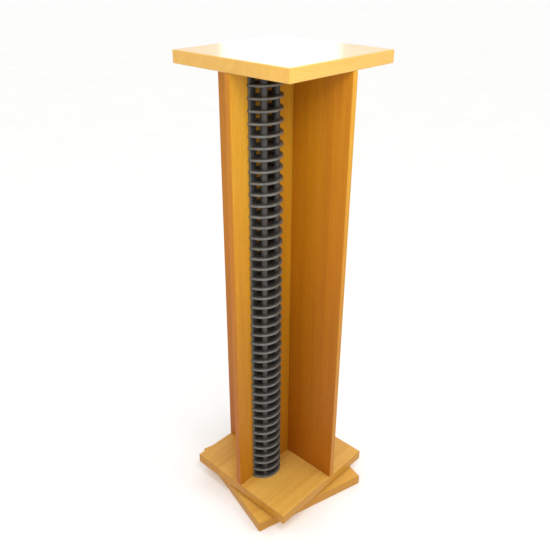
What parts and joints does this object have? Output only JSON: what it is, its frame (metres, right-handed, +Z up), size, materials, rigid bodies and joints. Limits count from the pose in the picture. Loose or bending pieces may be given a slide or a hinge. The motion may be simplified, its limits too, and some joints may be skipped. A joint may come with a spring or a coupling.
{
  "type": "revolving cassette tower",
  "caption": "Tall square wooden storage tower that turns on a flat ball bearing over a loose floor base, with upright boards in a Z and black finned racks for video cassettes.",
  "frame": {"origin": "centre of the floor base's underside, on the turning axis", "axes": "+Z up the tower; the tower stands square to X and Y, its front rack faces -Y and its centre board lies along X; the floor base is turned 15.4 degrees clockwise under it, seen from above"},
  "size_m": [0.4904, 0.4904, 1.423],
  "materials": {
    "honey_wood": "honey-toned wood grain under a satin clear varnish",
    "black_plastic": "injection-moulded black plastic with a low sheen",
    "zinc_steel": "bright zinc-plated pressed steel",
    "beech": "plain unfinished dowel"
  },
  "bodies": {
    "base": {"floor_base": "honey_wood", "bearing_lower_plate": "zinc_steel", "lower_bearing_screw_1": "zinc_steel", "lower_bearing_screw_2": "zinc_steel", "lower_bearing_screw_3": "zinc_steel", "lower_bearing_screw_4": "zinc_steel"},
    "bearing_balls": {"ball_ring": "zinc_steel"},
    "tower": {"turning_base": "honey_wood", "centre_board": "honey_wood", "front_divider": "honey_wood", "rear_divider": "honey_wood", "top_slab": "honey_wood", "front_rack_1": "black_plastic", "front_rack_2": "black_plastic", "front_rack_3": "black_plastic", "rear_rack_1": "black_plastic", "rear_rack_2": "black_plastic", "rear_rack_3": "black_plastic", "bearing_upper_plate": "zinc_steel", "upper_bearing_screw_1": "zinc_steel", "upper_bearing_screw_2": "zinc_steel", "upper_bearing_screw_3": "zinc_steel", "upper_bearing_screw_4": "zinc_steel", "base_screw_centre_left": "zinc_steel", "base_screw_centre_right": "zinc_steel", "base_screw_front": "zinc_steel", "base_screw_rear": "zinc_steel", "front_rack_screw_1": "zinc_steel", "front_rack_screw_2": "zinc_steel", "front_rack_screw_3": "zinc_steel", "front_rack_screw_4": "zinc_steel", "front_rack_screw_5": "zinc_steel", "front_rack_screw_6": "zinc_steel", "rear_rack_screw_1": "zinc_steel", "rear_rack_screw_2": "zinc_steel", "rear_rack_screw_3": "zinc_steel", "rear_rack_screw_4": "zinc_steel", "rear_rack_screw_5": "zinc_steel", "rear_rack_screw_6": "zinc_steel", "top_dowel_centre_left": "beech", "top_dowel_centre_right": "beech", "top_dowel_front": "beech", "top_dowel_rear": "beech", "front_divider_dowel_1": "beech", "front_divider_dowel_2": "beech", "front_divider_dowel_3": "beech", "rear_divider_dowel_1": "beech", "rear_divider_dowel_2": "beech", "rear_divider_dowel_3": "beech"}
  },
  "joints": [
    {"name": "tower_turn", "type": "hinge", "parent": "base", "child": "tower", "pos_m": [0, 0, 0.0388], "axis": [0, 0, 1], "continuous": true},
    {"name": "ball_turn", "type": "hinge", "parent": "base", "child": "bearing_balls", "pos_m": [0, 0, 0.0388], "axis": [0, 0, 1], "continuous": true}
  ],
  "couplings": [
    {"joint": "ball_turn", "follows": "tower_turn", "ratio": 0.5}
  ]
}
